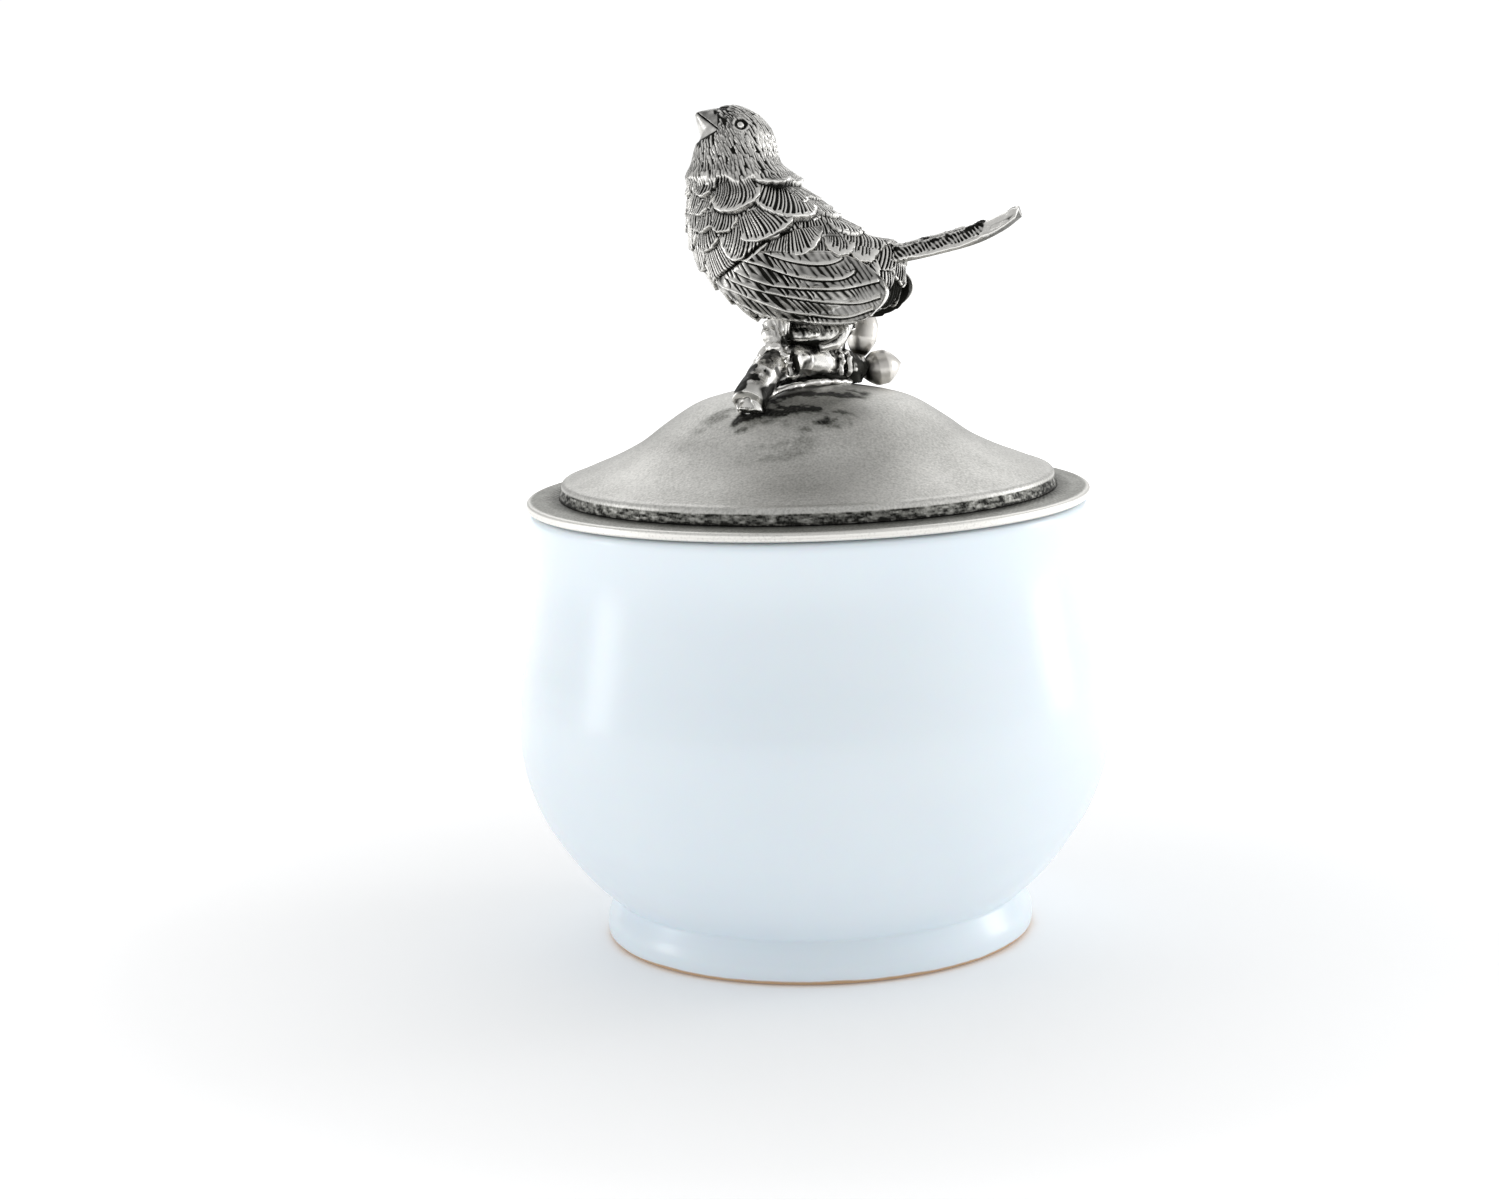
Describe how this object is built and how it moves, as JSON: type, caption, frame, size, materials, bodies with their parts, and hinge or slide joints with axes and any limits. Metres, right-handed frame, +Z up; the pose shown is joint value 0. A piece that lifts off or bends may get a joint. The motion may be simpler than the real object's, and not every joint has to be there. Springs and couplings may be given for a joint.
{
  "type": "covered sugar bowl",
  "caption": "Round stoneware sugar bowl on a short foot, with a domed pewter lid that lifts off by a songbird perched on a budding twig.",
  "frame": {"origin": "centre of the foot, on the table", "axes": "+Z up, the bowl's turning axis; the bird's beak points to -X and its tail to +X; the near side is -Y"},
  "size_m": [0.0956, 0.0956, 0.1328],
  "materials": {
    "stoneware": "gloss",
    "silicone": "satin",
    "pewter": "satin",
    "antiqued_pewter": "satin",
    "screw_steel": "satin"
  },
  "bodies": {
    "bowl": {"bowl": "stoneware"},
    "seal": {"seal_ring": "silicone"},
    "lid": {"lid_collar": "pewter", "lid_brim": "pewter", "lid_dome": "pewter", "twig": "antiqued_pewter", "bud_side": "antiqued_pewter", "bud_upright": "antiqued_pewter", "bird_body": "antiqued_pewter", "bird_wing_left": "antiqued_pewter", "bird_wing_right": "antiqued_pewter", "bird_tail": "antiqued_pewter", "bird_leg_left": "antiqued_pewter", "bird_leg_right": "antiqued_pewter", "screw_front": "screw_steel", "screw_rear": "screw_steel", "washer_front": "screw_steel", "washer_rear": "screw_steel"}
  },
  "joints": [
    {"name": "lid_lift", "type": "slide", "parent": "bowl", "child": "seal", "axis": [0, 0, 1], "range_m": [0, 0.06]},
    {"name": "lid_turn", "type": "hinge", "parent": "seal", "child": "lid", "pos_m": [0, 0, 0.0702], "axis": [0, 0, 1], "continuous": true}
  ]
}
